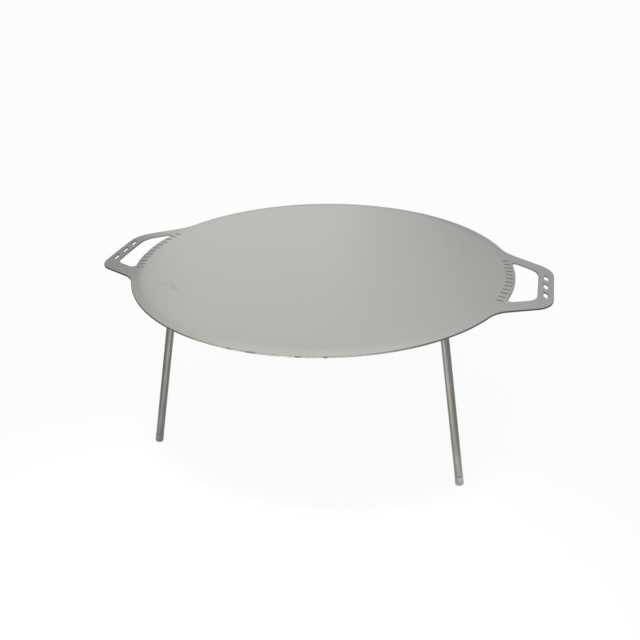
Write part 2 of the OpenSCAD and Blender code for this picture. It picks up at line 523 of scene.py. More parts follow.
# %% Tube and foot finishes
TUBE_DARK = rgb(0.15, 0.15, 0.146)
TUBE_PALE = rgb(0.27, 0.266, 0.254)
TUBE_BROWN = rgb(0.27, 0.235, 0.206)
TUBE_RUBBED = rgb(0.44, 0.432, 0.415)
RUB_STARTS = 195 * MM
RUB_FULL = 240 * MM
RUB_RAGGED = 40 * MM
STREAK_BUMP = 0.012 * MM
FOOT_DARK = rgb(0.19, 0.19, 0.184)
FOOT_PALE = rgb(0.56, 0.555, 0.54)
FOOT_BUMP = 0.006 * MM


def tube_finish(paleness, brown, rub):
    """A tube's finish by the shares of pale metal, of brown patches and of rubbing at its lower end."""
    material, wire = start_finish("drawn_tube_steel")
    place = piece_place(wire)
    along = place.axis("Z")
    streak = noise(place, 700, (1, 1, 0.012))
    patch = noise(place, 60, (1, 1, 0.5), detail=3.0)
    grain = noise(place, 2500)
    colour = mix(paleness + sway(streak, 1.0) + sway(grain, 0.3), TUBE_DARK, TUBE_PALE)
    colour = mix(blend(patch, 0.42, 0.7, 0.0, brown), colour, TUBE_BROWN)
    rub_and_painted_sheen = blend(along + sway(patch, RUB_RAGGED), RUB_STARTS, RUB_FULL, 0.0, rub)
    rough = 0.29 + sway(streak, 0.16) + sway(patch, 0.1)
    end_finish(wire, mix(rub_and_painted_sheen, colour, TUBE_RUBBED), rough, bump(streak, STREAK_BUMP))
    return material


def foot_finish(paleness):
    material, wire = start_finish("turned_foot_steel")
    place = piece_place(wire)
    rings = noise(place, 3200, (0.02, 0.02, 1))
    smear = noise(place, 240, detail=3.0)
    colour = mix(paleness + sway(rings, 0.25) + sway(smear, 0.1), FOOT_DARK, FOOT_PALE)
    end_finish(wire, colour, 0.24 + sway(smear, 0.1), bump(rings, FOOT_BUMP))
    return material


# %% Stud and socket finishes
STUD_PALE = rgb(0.58, 0.565, 0.53)
STUD_OIL = rgb(0.16, 0.15, 0.135)
SOCKET_DARK = rgb(0.30, 0.30, 0.295)
SOCKET_PALE = rgb(0.45, 0.445, 0.43)
SOCKET_HEAT = [
    (0.0, rgb(0.17, 0.18, 0.22)),
    (0.3, rgb(0.23, 0.25, 0.34)),
    (0.5, rgb(0.35, 0.27, 0.32)),
    (0.7, rgb(0.48, 0.38, 0.25)),
    (1.0, rgb(0.46, 0.43, 0.37)),
]
SOCKET_HEAT_FROM = 3 * MM
SOCKET_HEAT_TO = 17 * MM
SOCKET_HEAT_RAGGED = 5 * MM
STUD_BUMP = 0.006 * MM
SOCKET_BUMP = 0.01 * MM


def stud_finish(groove_r, crest_r):
    """A thread that is oily in its grooves and clean on its crests."""
    material, wire = start_finish("threaded_stud_steel")
    place = piece_place(wire)
    clean = blend(distance_out(place), groove_r, crest_r)
    smear = noise(place, 420, detail=3.0)
    colour = mix(0.15 + clean * 0.8 + sway(smear, 0.5), STUD_OIL, STUD_PALE)
    end_finish(wire, colour, 0.42 - clean * 0.12 + sway(smear, 0.15), bump(noise(place, 2600), STUD_BUMP))
    return material


def socket_finish():
    material, wire = start_finish("heated_socket_steel")
    place = piece_place(wire)
    along = place.axis("Z")
    rings = noise(place, 2400, (0.02, 0.02, 1))
    smear = noise(place, 200, detail=3.0)
    ragged = along + sway(smear, SOCKET_HEAT_RAGGED)
    share = (ragged - SOCKET_HEAT_FROM) / (SOCKET_HEAT_TO - SOCKET_HEAT_FROM)
    plain = mix(0.5 + sway(rings, 0.7) + sway(smear, 0.5), SOCKET_DARK, SOCKET_PALE)
    colour = mix(blend(share, 0.6, 1.1, 0.9, 0.0), plain, ramp(share, SOCKET_HEAT))
    end_finish(wire, colour, 0.40 + sway(smear, 0.2), bump(rings, SOCKET_BUMP))
    return material


# %% Weld finish
WELD_VALLEY = rgb(0.15, 0.145, 0.145)
WELD_CREST = rgb(0.42, 0.405, 0.385)
WELD_BLUE = rgb(0.22, 0.25, 0.34)
WELD_BUMP = 0.03 * MM


def weld_finish():
    material, wire = start_finish("weld_bead_metal")
    place = object_place(wire)
    crest = stored(wire, "crest")
    speckle = noise(place, 1200, detail=3.0)
    tint = noise(place, 130)
    colour = mix(0.1 + crest * 0.8 + sway(speckle, 0.5), WELD_VALLEY, WELD_CREST)
    colour = mix(blend(tint, 0.45, 0.7, 0.0, 0.5), colour, WELD_BLUE)
    end_finish(wire, colour, 0.40 + sway(speckle, 0.3), bump(speckle, WELD_BUMP))
    return material


# %% [markdown]
# ## The outline of the plate
# The sheet is cut flat before it is pressed. Its outline is made of straight stretches and arcs,
# so each point comes from a radius and an angle. The round plate and the reach of the handles are read
# from the frame, and the smaller sizes are those of the cutting plan.

# %% Sizes of the cutting plan
_, plate_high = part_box("griddle_plate")
plate_r = round(plate_high.y, 4)
reach = round(plate_high.x, 4)
top_z = plate_high.z
sheet_t = 2.5 * MM
under_z = top_z - sheet_t

handle_l = 132 * MM
handle_bar_w = 22.5 * MM
handle_arm_w = 24 * MM
handle_slant = math.radians(30)
handle_corner_r = 42 * MM
handle_root_r = 56 * MM
finger_cut = 0.5 * MM
finger_r = plate_r - finger_cut
finger_reach = reach - handle_bar_w
finger_corner_r = 26 * MM
finger_root_r = 5 * MM
arm_side = Vector((math.sin(handle_slant), math.cos(handle_slant)))
arm_run = Vector((-math.cos(handle_slant), math.sin(handle_slant)))
arm_out = arm_side.dot(Vector((reach, handle_l / 2)))
arm_in = arm_out - handle_arm_w
print(f"plate radius {plate_r:.4f} m, handle reach {reach:.4f} m, cooking face at {top_z:.4f} m")

# %% Arcs and corners
ORIGIN = Vector((0, 0))
ARC_STEP = 3 * MM
LONGEST_STEP = 5 * MM
SAME_POINT = 0.05 * MM
FEWEST_STEPS = 4


def heading(step):
    return math.atan2(step.y, step.x)


def around(angle):
    return Vector((math.cos(angle), math.sin(angle)))


def arc(centre, radius, first, last):
    """Points round a centre, from one angle to another."""
    count = max(FEWEST_STEPS, math.ceil(abs(last - first) * radius / ARC_STEP))
    return [centre + radius * around(first + (last - first) * i / count) for i in range(count + 1)]


def corner_centre(edge, nose, radius):
    """Centre of a rounding between the arm's side at distance edge and the line x = nose."""
    x = nose - radius
    return Vector((x, (edge - radius - arm_side.x * x) / arm_side.y))


def arm_point(edge, distance):
    """The point at a distance from the plate's axis, on a line beside the arm at distance edge."""
    return edge * arm_side - math.sqrt(distance ** 2 - edge ** 2) * arm_run


def flipped(points, x, y):
    """Points mirrored by the signs x and y. One flip runs the other way round, so its order is reversed."""
    moved = [Vector((p.x * x, p.y * y)) for p in points]
    return moved if x * y > 0 else moved[::-1]


def with_neighbours(loop):
    """Each point of a closed loop, between the one before it and the one after it."""
    return zip(loop[-1:] + loop[:-1], loop, loop[1:] + loop[:1])


def close_loop(points):
    """A closed loop with no doubled points and no step longer than LONGEST_STEP."""
    loop = []
    for _, point, after in with_neighbours(points):
        step = after - point
        if step.length < SAME_POINT:
            continue
        count = math.ceil(step.length / LONGEST_STEP)
        loop += [point + step * i / count for i in range(count)]
    return loop


# %% Outer outline and finger holes
def outer_outline():
    """Anticlockwise, from the right handle's nose: one quarter, and its mirror images."""
    corner = corner_centre(arm_out, reach, handle_corner_r)
    root = arm_point(arm_out + handle_root_r, plate_r + handle_root_r)
    quarter = [
        Vector((reach, 0)),
        *arc(corner, handle_corner_r, 0, heading(arm_side)),
        *arc(root, handle_root_r, heading(arm_side) + math.pi, heading(root) + math.pi),
        *arc(ORIGIN, plate_r, heading(root), math.pi / 2),
    ]
    turns = [(1, 1), (-1, 1), (-1, -1), (1, -1)]
    return close_loop([p for x, y in turns for p in flipped(quarter, x, y)])


def finger_outline():
    """Anticlockwise round the right handle's finger hole: one half, and its mirror image."""
    corner = corner_centre(arm_in, finger_reach, finger_corner_r)
    root = arm_point(arm_in - finger_root_r, finger_r + finger_root_r)
    half = [
        Vector((finger_reach, 0)),
        *arc(corner, finger_corner_r, 0, heading(arm_side)),
        *arc(root, finger_root_r, heading(arm_side), heading(root) + math.pi),
        *arc(ORIGIN, finger_r, heading(root), 0),
    ]
    return close_loop(half + flipped(half, 1, -1))


outline = outer_outline()
finger_hole = finger_outline()
print("outline points", len(outline), "finger hole points", len(finger_hole))

# %% [markdown]
# ## Rows of cut-outs
# Each grip bar has three slanted slots, and a row of plain heat slits follows the rim beside each handle.
# Both are one cut-out that repeats, once along a line and once round an arc.
# A small Geometry Nodes tree repeats it, with the count, the step and the turn as inputs.
# What it makes are the slugs that would drop out of the sheet, and their outlines become holes
# in the next step.

# %% Row tree
def row_tree():
    given = shape_tree("cut_out_row", {"Count": "Int", "Step": "Vector", "Turn": "Float", "Slug": "Material"})
    count = given.pick("Count")
    before = (count - 1) * -0.5
    step = given.pick("Step")
    start = step.vector_maths("SCALE", {0: step, "Scale": before})
    line = given.node(
        "GeometryNodeMeshLine",
        {"mode": "OFFSET"},
        {"Count": count, "Start Location": start, "Offset": step},
        "Mesh",
    )
    turn = (given.node("GeometryNodeInputIndex") + before) * given.pick("Turn")
    spin = given.node("ShaderNodeCombineXYZ", {}, {"Z": turn})
    sockets = {"Points": line, "Instance": given.pick("Geometry"), "Rotation": spin}
    row = given.node("GeometryNodeInstanceOnPoints", {}, sockets)
    return end_tree(row, [(given.pick("Slug"), None)])


cut_out_row = row_tree()
print("sockets of the row tree", [item.name for item in cut_out_row.interface.items_tree])


# %% Slugs and their outlines
def rounded(corners, radius):
    """A polygon, given anticlockwise, with each corner rounded."""
    points = []
    for before, corner, after in with_neighbours(corners):
        back = (before - corner).normalized()
        ahead = (after - corner).normalized()
        half = back.angle(ahead) / 2
        centre = corner + (back + ahead).normalized() * (radius / math.sin(half))
        first = heading(corner + back * (radius / math.tan(half)) - centre)
        points += arc(centre, radius, first, first + math.pi - 2 * half)
    return points


def cut_out_loops(name, slug, **row):
    """Repeats one slug by the row tree and returns the outlines on the right handle and on the left."""
    piece = new_piece(name, [(p.x, p.y, 0) for p in slug], [range(len(slug))])
    run_tree(piece, cut_out_row, **row)
    places = [v.co.xy for v in piece.data.vertices]
    right = [[places[i] for i in face.vertices] for face in piece.data.polygons]
    bpy.data.objects.remove(piece)
    return right + [[-p for p in loop] for loop in right]


# %% Grip slots and heat slits
SLOT_CORNER_R = 0.6 * MM
SLIT_CORNER_R = 0.3 * MM
slot_count = 3
slot_pitch = 30.5 * MM
slot_half = Vector((3.0, 8.0)) * MM
slot_lean = 2.75 * MM
slot_x = reach - handle_bar_w / 2
slit_count = 12
slit_pitch = 13.4 * MM
slit_edge = 3.5 * MM
slit_half = Vector((5.0, 1.1)) * MM
slit_r = finger_r - slit_edge - slit_half.x

slot_slug = rounded([
    Vector((slot_x - slot_half.x, slot_lean - slot_half.y)),
    Vector((slot_x + slot_half.x, -slot_lean - slot_half.y)),
    Vector((slot_x + slot_half.x, slot_half.y - slot_lean)),
    Vector((slot_x - slot_half.x, slot_half.y + slot_lean)),
], SLOT_CORNER_R)
slit_slug = rounded([
    Vector((slit_r + x * slit_half.x, y * slit_half.y))
    for x, y in [(-1, -1), (1, -1), (1, 1), (-1, 1)]
], SLIT_CORNER_R)
grip_slots = cut_out_loops("grip_slots", slot_slug, Count=slot_count, Step=(0.0, slot_pitch, 0.0))
heat_slits = cut_out_loops("heat_slits", slit_slug, Count=slit_count, Turn=slit_pitch / slit_r)
holes = [finger_hole, [-p for p in finger_hole], *grip_slots, *heat_slits]
print("grip slots", len(grip_slots), "heat slits", len(heat_slits))

# %% [markdown]
# ## The flat blank
# The blank is the sheet before pressing: two flat caps, and a wall round each outline.
# The corners of the wall are broken by half a millimetre.
# A boolean could cut the holes, but it leaves long thin faces that shade badly.
# Here the caps are filled by a triangulation that keeps every outline and also uses rings of points,
# packed closely where the sheet will bend.

# %% Rings of points
rim_w = 12.5 * MM
rim_angle = math.radians(5)
bend_r = 115 * MM
flat_r = plate_r - rim_w - bend_r * math.tan(rim_angle / 2)
bend_end = flat_r + bend_r * math.sin(rim_angle)
FLAT_RINGS = 12
BEND_RINGS = 9
FIRST_RIM_STEP = 5 * MM
RING_STEP = 6 * MM
MOST_ON_A_RING = 360


def ring_points():
    """Rings of points over the sheet, close together in the bend."""
    wide = np.linspace(0, flat_r, FLAT_RINGS)
    bend = np.linspace(flat_r, bend_end, BEND_RINGS)
    outer = np.arange(bend_end + FIRST_RIM_STEP, reach, RING_STEP)
    points = [(0.0, 0.0)]
    for radius in [*wide[1:], *bend[1:], *outer]:
        count = int(min(MOST_ON_A_RING, 2 * math.pi * radius / RING_STEP))
        angles = np.arange(count) * 2 * math.pi / count
        points += list(zip(radius * np.cos(angles), radius * np.sin(angles)))
    return np.array(points)


print(f"flat out to {flat_r:.4f} m, bend ends at {bend_end:.4f} m, ring points", len(ring_points()))

# %% Points in the metal
CLEAR_OF_EDGE = 1.5 * MM


def edges_of(loops):
    """Start and end points of every straight step of the loops."""
    starts = np.array([p for loop in loops for p in loop])
    ends = np.array([after for loop in loops for _, _, after in with_neighbours(loop)])
    return starts, ends


def in_metal(points, starts, ends):
    """True for points that an odd number of edges lie beside, which is inside the metal."""
    found = np.zeros(len(points), bool)
    for start, end in zip(starts, ends):
        crosses = (start[1] > points[:, 1]) != (end[1] > points[:, 1])
        if crosses.any():
            x = start[0] + (points[:, 1] - start[1]) * (end[0] - start[0]) / (end[1] - start[1])
            found ^= crosses & (points[:, 0] < x)
    return found


def off_edges(points, starts, ends):
    """True for points that lie clear of every edge."""
    found = np.ones(len(points), bool)
    for start, end in zip(starts, ends):
        run = end - start
        share = np.clip((points - start) @ run / (run @ run), 0, 1)
        gap = np.hypot(*(points - start - share[:, None] * run).T)
        found &= gap > CLEAR_OF_EDGE
    return found


# %% Fill the caps
EDGE_BREAK = 0.5 * MM
HALF_BREAK = EDGE_BREAK * (1 - math.sqrt(0.5))
LEAST_SPREAD = 0.5
MERGE_WITHIN = 1e-7


def inset(loop, distance):
    """The loop moved to its left by a distance."""
    moved = []
    for before, point, after in with_neighbours(loop):
        run = (point - before).normalized() + (after - point).normalized()
        left = Vector((-run.y, run.x)).normalized()
        spread = left.dot(Vector((before.y - point.y, point.x - before.x)).normalized())
        moved.append(point + left * (distance / max(spread, LEAST_SPREAD)))
    return moved


def fill_cap(loops):
    """Triangles between the loops, on the loops' points followed by the ring points."""
    starts, ends = edges_of(loops)
    inner = ring_points()
    inner = inner[in_metal(inner, starts, ends)]
    inner = inner[off_edges(inner, starts, ends)]
    points = [Vector(p) for loop in loops for p in loop] + [Vector(p) for p in inner]
    steps = []
    first = 0
    for loop in loops:
        steps += [(first + i, first + (i + 1) % len(loop)) for i in range(len(loop))]
        first += len(loop)
    places, _, triangles, sources, _, _ = delaunay_2d_cdt(points, steps, [], 0, MERGE_WITHIN)
    assert all(source == [i] for i, source in enumerate(sources))
    corners = np.array(places)
    middles = corners[np.array(triangles)].mean(axis=1)
    kept = in_metal(middles, starts, ends)
    return corners, [t for t, keep in zip(triangles, kept) if keep]


loops = [outline, *holes]
sides = [1] + [-1] * len(holes)
cap_points, cap_faces = fill_cap([inset(loop, EDGE_BREAK * side) for loop, side in zip(loops, sides)])
print("cap points", len(cap_points), "cap triangles", len(cap_faces))

# %% Add the walls
TOP, WALL, HOLE, UNDER = 0, 1, 2, 3
WALL_ROWS = [
    (HALF_BREAK, HALF_BREAK),
    (0.0, EDGE_BREAK),
    (0.0, sheet_t - EDGE_BREAK),
    (HALF_BREAK, sheet_t - HALF_BREAK),
]
PLATE_SHARP = math.radians(20)


def flat_blank():
    """The cut sheet with its face at height 0, and which side each of its faces is on."""
    count = len(cap_points)
    points = [(x, y, 0) for x, y in cap_points] + [(x, y, -sheet_t) for x, y in cap_points]
    faces = [tuple(t) for t in cap_faces] + [tuple(count + i for i in reversed(t)) for t in cap_faces]
    side_of = [TOP] * len(cap_faces) + [UNDER] * len(cap_faces)
    first = 0
    for loop, side in zip(loops, sides):
        size = len(loop)
        rows = [list(range(first, first + size))]
        for inward, depth in WALL_ROWS:
            rows.append(list(range(len(points), len(points) + size)))
            points += [(p.x, p.y, -depth) for p in inset(loop, inward * side)]
        rows.append([count + i for i in rows[0]])
        for upper, lower in zip(rows, rows[1:]):
            for i in range(size):
                j = (i + 1) % size
                quad = (upper[i], lower[i], lower[j], upper[j])
                faces.append(quad if side > 0 else quad[::-1])
                side_of.append(WALL if side > 0 else HOLE)
        first += size
    return points, faces, side_of


blank_points, blank_faces, blank_sides = flat_blank()
plate = new_piece("plate", blank_points, blank_faces)
store(plate, "side", blank_sides, "INT", "FACE")
plate.data.set_sharp_from_angle(angle=PLATE_SHARP)
print(f"flat blank: {len(blank_faces)} faces, {volume(plate):.1f} cubic cm")

# %% [markdown]
# ## Pressing the plate
# A press leaves the cooking face flat and bends the rim and handles down by a few degrees,
# so that fat runs off. The height of each point follows from its distance from the middle:
# flat, then an arc, then a straight slope. A rule like that suits Geometry Nodes.
# The tree takes the flat blank and its depth below the face, and gives both faces of the sheet
# the right place, one sheet thickness apart.

# %% Press tree
def press_tree():
    sizes = ["Flat radius", "Bend radius", "Slope angle", "Face height"]
    finishes = ["Face", "Edge", "Hole edge", "Underside"]
    inputs = {name: "Float" for name in sizes} | {name: "Material" for name in finishes}
    given = shape_tree("press_plate", inputs)
    flat, bend, slope, height = [given.pick(name) for name in sizes]
    x, y, z = point_axes(given)
    past = given.maths("MAXIMUM", given.maths("SQRT", x * x + y * y) - flat, 0.0)
    arc_r = bend + z
    arc_w = arc_r * given.maths("SINE", slope)
    on_arc = given.maths("MINIMUM", past, arc_w)
    drop = given.maths("SQRT", arc_r * arc_r - on_arc * on_arc) - bend
    run_off = given.maths("MAXIMUM", past - arc_w, 0.0) * given.maths("TANGENT", slope)
    pressed = given.node("ShaderNodeCombineXYZ", {}, {"X": x, "Y": y, "Z": height + drop - run_off})
    shape = move_points(given, "Position", pressed)
    side = attribute(given, "side", "INT")
    marks = [given.maths("COMPARE", side, number, 0.5) for number in (TOP, WALL, HOLE, UNDER)]
    return end_tree(shape, list(zip([given.pick(name) for name in finishes], marks)))


# %% [markdown]
# ## Where the legs stand
# Each leg's direction is the axis of its joint, and the middle of its tube is the middle of the solid's box.
# From those two the spot where the leg's axis meets the underside follows, and a matrix that carries a piece
# made along the Z axis to its leg.

# %% Leg frames
LEGS = (1, 2, 3)


def leg_line(number):
    """The leg's direction and the point where its axis meets the underside."""
    joint = next(j for j in frame["joints"] if j["child"] == f"leg_{number}")
    down = Vector(joint["axis"]).normalized()
    low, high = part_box(f"leg_tube_{number}")
    middle = (low + high) / 2
    return down, middle + down * ((under_z - middle.z) / down.z)


def leg_matrix(number):
    """Carries Z to the leg's direction, and X to the side that faces outwards."""
    down, root = leg_line(number)
    side = Vector((down.y, -down.x, 0)).normalized()
    out = side.cross(down)
    return Matrix.Translation(root) @ Matrix((out, side, down)).transposed().to_4x4()


splay = math.acos(-leg_line(1)[0].z)
leg_roots = [leg_line(number)[1] for number in LEGS]
print(f"legs lean {math.degrees(splay):.2f} degrees")
print("roots in metres", [tuple(round(c, 4) for c in root) for root in leg_roots])

# %% Press the plate
run_tree(
    plate,
    press_tree(),
    Flat_radius=flat_r,
    Bend_radius=bend_r,
    Slope_angle=rim_angle,
    Face_height=top_z,
    Face=face_finish(),
    Edge=edge_finish("cut_edge_steel", EDGE_SKIN_AND_PAINTED_SHEEN, EDGE_NICKS_AND_PAINTED_GLINT),
    Hole_edge=edge_finish("hole_edge_steel", HOLE_TONES, []),
    Underside=underside_finish(leg_roots),
)
hand_in(plate, "griddle", "griddle_plate")

# %% [markdown]
# ## Turned pieces
# Tubes, feet, studs and sockets are round, so each is a profile spun about its axis.
# The Screw modifier could spin it, but a short loop also gives poles with no doubled points.
# Every piece is made along the Z axis first, keeps a copy of those places for its finish,
# and is then carried to its leg.

# %% The lathe
LATHE_SIDES = 64
CHAMFER = 0.4 * MM
SHARP = math.radians(32)


def lathe(name, profile, ring=False):
    """Spins a profile of (radius, along) points about Z. A radius of 0 is a pole, and a ring is closed."""
    points, rows, faces = [], [], []
    for radius, along in profile:
        size = LATHE_SIDES if radius > 0 else 1
        rows.append([len(points) + i for i in range(size)])
        spin = [2 * math.pi * i / size for i in range(size)]
        points += [(radius * math.cos(a), radius * math.sin(a), along) for a in spin]
    for upper, lower in zip(rows, rows[1:] + rows[:1] if ring else rows[1:]):
        for i in range(LATHE_SIDES):
            j = (i + 1) % LATHE_SIDES
            corners = [row[k % len(row)] for row, k in [(upper, i), (upper, j), (lower, j), (lower, i)]]
            faces.append(list(dict.fromkeys(corners)))
    return new_piece(name, points, faces)


def face_outwards(piece):
    shell = bmesh.new()
    shell.from_mesh(piece.data)
    bmesh.ops.recalc_face_normals(shell, faces=shell.faces)
    shell.to_mesh(piece.data)
    shell.free()


def set_on_leg(piece, number, finish=None):
    """Keeps the piece's straight places, carries it to its leg and gives it a finish."""
    face_outwards(piece)
    mesh = piece.data
    places = [c for v in mesh.vertices for c in v.co]
    store(piece, "turned_place", places, "FLOAT_VECTOR")
    mesh.transform(leg_matrix(number))
    mesh.set_sharp_from_angle(angle=SHARP)
    if finish:
        mesh.materials.append(finish)


# %% Sizes along a leg, from the underside of the plate
leg_tube_r = 6 * MM
tube_bore_r = 4.5 * MM
shank_clear = 0.02 * MM
shank_r = tube_bore_r - shank_clear
socket_l = 25 * MM
leg_l = 250 * MM
leg_end = socket_l + leg_l
foot_l = 14 * MM
tube_end = leg_end - foot_l
print(f"a leg ends {leg_end:.3f} m along its axis, its tube at {tube_end:.3f} m")

# %% Leg tubes
# Each leg's shares of pale metal, of brown patches and of rubbing.
TUBE_LOOKS = {1: (0.10, 0.25, 0.15), 2: (0.45, 0.60, 0.38), 3: (0.35, 0.40, 0.30)}
for number in LEGS:
    tube = lathe(f"tube_{number}", [
        (leg_tube_r - CHAMFER, socket_l),
        (leg_tube_r, socket_l + CHAMFER),
        (leg_tube_r, tube_end - CHAMFER),
        (leg_tube_r - CHAMFER, tube_end),
        (tube_bore_r + CHAMFER, tube_end),
        (tube_bore_r, tube_end - CHAMFER),
        (tube_bore_r, socket_l + CHAMFER),
        (tube_bore_r + CHAMFER, socket_l),
    ], ring=True)
    set_on_leg(tube, number, tube_finish(*TUBE_LOOKS[number]))
    hand_in(tube, f"leg_{number}", f"leg_tube_{number}")

# %% [markdown]
# ## Foot plugs
# A foot plug closes the tube's open end. Its head is a little wider than the tube and its end is rounded,
# so that it doesn't dig into the ground.

# %% Foot plugs
foot_r = 6.2 * MM
foot_round = 2.5 * MM
foot_shank_l = 18 * MM
ROUND_STEPS = 8
FOOT_PALENESS = {1: 0.14, 2: 0.60, 3: 0.40}
quarter = [i / ROUND_STEPS * math.pi / 2 for i in range(ROUND_STEPS + 1)]
rounding = [
    (foot_r - foot_round + foot_round * math.cos(a), leg_end - foot_round + foot_round * math.sin(a))
    for a in quarter
]
for number in LEGS:
    foot = lathe(f"foot_{number}", [
        (0, tube_end - foot_shank_l),
        (shank_r - CHAMFER, tube_end - foot_shank_l),
        (shank_r, tube_end - foot_shank_l + CHAMFER),
        (shank_r, tube_end),
        (foot_r - CHAMFER / 2, tube_end),
        (foot_r, tube_end + CHAMFER / 2),
        *rounding,
        (0, leg_end),
    ])
    set_on_leg(foot, number, foot_finish(FOOT_PALENESS[number]))
    hand_in(foot, f"leg_{number}", f"foot_plug_{number}")

# %% [markdown]
# ## Threads
# The stud on top of a leg has a screw thread, and so has the bore of its socket.
# A thread is a groove that climbs by one pitch in each turn, so its depth at a point follows
# from the angle round the axis and the height. One Geometry Nodes tree sinks that groove
# into any turned mesh that has enough rings. It reads how deep the groove is at each point
# from an attribute, which is less than 0 in a bore, where the groove goes outwards.

# %% Thread tree
THREAD_PITCH = 1.5 * MM
THREAD_DEPTH = 0.6 * MM
RINGS_PER_PITCH = 10
FLANK_STEEPNESS = 1.4
CREST_SHARE = 0.2
LEAST_RADIUS = 1 * MM
SAME_RADIUS = 0.005 * MM


def thread_tree():
    given = shape_tree("screw_thread", {"Pitch": "Float", "Metal": "Material"})
    x, y, z = point_axes(given)
    radius = given.maths("SQRT", x * x + y * y)
    turns = z / given.pick("Pitch") - given.maths("ARCTAN2", y, x) / (2 * math.pi)
    flank = given.maths("ABSOLUTE", given.maths("FRACT", turns) * 2 - 1)
    cut = given.maths("MAXIMUM", flank * FLANK_STEEPNESS - CREST_SHARE, 0.0)
    groove = given.maths("MINIMUM", cut, 1.0)
    share = 1 - attribute(given, "groove") * groove / given.maths("MAXIMUM", radius, LEAST_RADIUS)
    moved = given.node("ShaderNodeCombineXYZ", {}, {"X": x * share, "Y": y * share, "Z": z})
    return end_tree(move_points(given, "Position", moved), [(given.pick("Metal"), None)])


screw_thread = thread_tree()


# %% Cutting a thread
def thread_rings(radius, first, last):
    """Rings along a thread, from one end to the other."""
    count = round(abs(last - first) / THREAD_PITCH * RINGS_PER_PITCH)
    return [(radius, first + (last - first) * i / count) for i in range(count + 1)]


def cut_thread(piece, radius, first, last, depth, finish):
    """Sinks a groove into the rings of that radius, fading out within half a pitch of both ends."""
    fade = THREAD_PITCH / 2
    grooves = []
    for v in piece.data.vertices:
        on_thread = abs(v.co.xy.length - radius) < SAME_RADIUS
        share = min(v.co.z - first, last - v.co.z) / fade
        grooves.append(depth * max(0, min(1, share)) if on_thread else 0.0)
    store(piece, "groove", grooves)
    run_tree(piece, screw_thread, Pitch=THREAD_PITCH, Metal=finish)


# %% Studs
stud_r = 5 * MM
stud_tip = 1 * MM
stud_thread_l = 16 * MM
stud_shank_l = 20 * MM
stud_from = socket_l - stud_thread_l
stud_to = socket_l + stud_shank_l
stud_steel = stud_finish(stud_r - THREAD_DEPTH, stud_r)
for number in LEGS:
    stud = lathe(f"stud_{number}", [
        (0, stud_from),
        (stud_r - stud_tip, stud_from),
        *thread_rings(stud_r, stud_from + stud_tip, socket_l),
        (shank_r, socket_l),
        (shank_r, stud_to - CHAMFER),
        (shank_r - CHAMFER, stud_to),
        (0, stud_to),
    ])
    cut_thread(stud, stud_r, stud_from + stud_tip / 2, socket_l, THREAD_DEPTH, stud_steel)
    set_on_leg(stud, number)
    hand_in(stud, f"leg_{number}", f"leg_stud_{number}")

# %% [markdown]
# ## Sockets
# A socket is a short turned boss, cut at an angle on top so that it sits flat under the plate
# while its axis leans with the leg. Its bore is threaded, and both rims of its mouth are chamfered.

# %% Sockets
socket_r = 10 * MM
socket_chamfer = 0.8 * MM
thread_clear = 0.05 * MM
bore_r = stud_r + thread_clear
bore_l = 18 * MM
bore_from = socket_l - bore_l
bore_mouth = socket_l - THREAD_DEPTH
socket_steel = socket_finish()
for number in LEGS:
    socket = lathe(f"socket_{number}", [
        (0, 0),
        (socket_r, 0),
        (socket_r, socket_l - socket_chamfer),
        (socket_r - socket_chamfer, socket_l),
        (bore_r + THREAD_DEPTH, socket_l),
        *thread_rings(bore_r, bore_mouth, bore_from),
        (0, bore_from),
    ])
    cut_thread(socket, bore_r, bore_from, bore_mouth, -THREAD_DEPTH, socket_steel)
    for vertex in socket.data.vertices:
        if vertex.co.z == 0:
            vertex.co.z = vertex.co.x * math.tan(splay)
    set_on_leg(socket, number)
    hand_in(socket, "griddle", f"leg_socket_{number}")

# %% [markdown]
# ## Weld beads
# A bead of weld fills the corner between a socket and the plate. A welder lays it drop by drop,
# so it has ripples like a row of leaning coins. The plain bead is a ring whose section runs
# from its toe on the plate to its toe on the socket. The ripples repeat along that path,
# so a Geometry Nodes tree raises them: their phase follows the way round, bent back in the middle
# of the bead, and they fade at both toes.

# %% Plain bead
weld_leg = 4 * MM
BEAD_STEPS = 400
BEAD_ACROSS = 12


def socket_distance(angle, depth):
    """From the root to the leaning socket's side, at an angle round it and a depth under the plate."""
    lean = math.cos(angle) * math.sin(splay)
    a = 1 - lean ** 2
    b = -2 * depth * lean * math.cos(splay)
    c = (depth * math.sin(splay)) ** 2 - socket_r ** 2
    return (-b + math.sqrt(b * b - 4 * a * c)) / (2 * a)


def plain_bead(name):
    """A closed ring in the corner, with attributes for the way round, the way across and the way out."""
    points, faces, rounds, acrosses, outs = [], [], [], [], []
    size = BEAD_ACROSS + 2
    for i in range(BEAD_STEPS):
        angle = 2 * math.pi * i / BEAD_STEPS
        way = Vector((math.cos(angle), math.sin(angle), 0))
        for k in range(size):
            across = k / BEAD_ACROSS
            tilt = across * math.pi / 2
            corner = k == size - 1
            depth = 0 if corner else weld_leg * math.sin(tilt)
            width = 0 if corner else weld_leg * math.cos(tilt)
            points.append(way * (socket_distance(angle, depth) + width) - Vector((0, 0, depth)))
            rounds.append(i / BEAD_STEPS)
            acrosses.append(0.0 if corner else across)
            outs.extend(way * math.cos(tilt) - Vector((0, 0, math.sin(tilt))))
            j = (k + 1) % size
            here = i * size
            there = (i + 1) % BEAD_STEPS * size
            faces.append((here + k, there + k, there + j, here + j))
    bead = new_piece(name, points, faces)
    store(bead, "round", rounds)
    store(bead, "across", acrosses)
    store(bead, "out", outs, "FLOAT_VECTOR")
    return bead


# %% Ripple tree
DRIFT_SCALE = 260.0
DRIFT_SHARE = 0.5


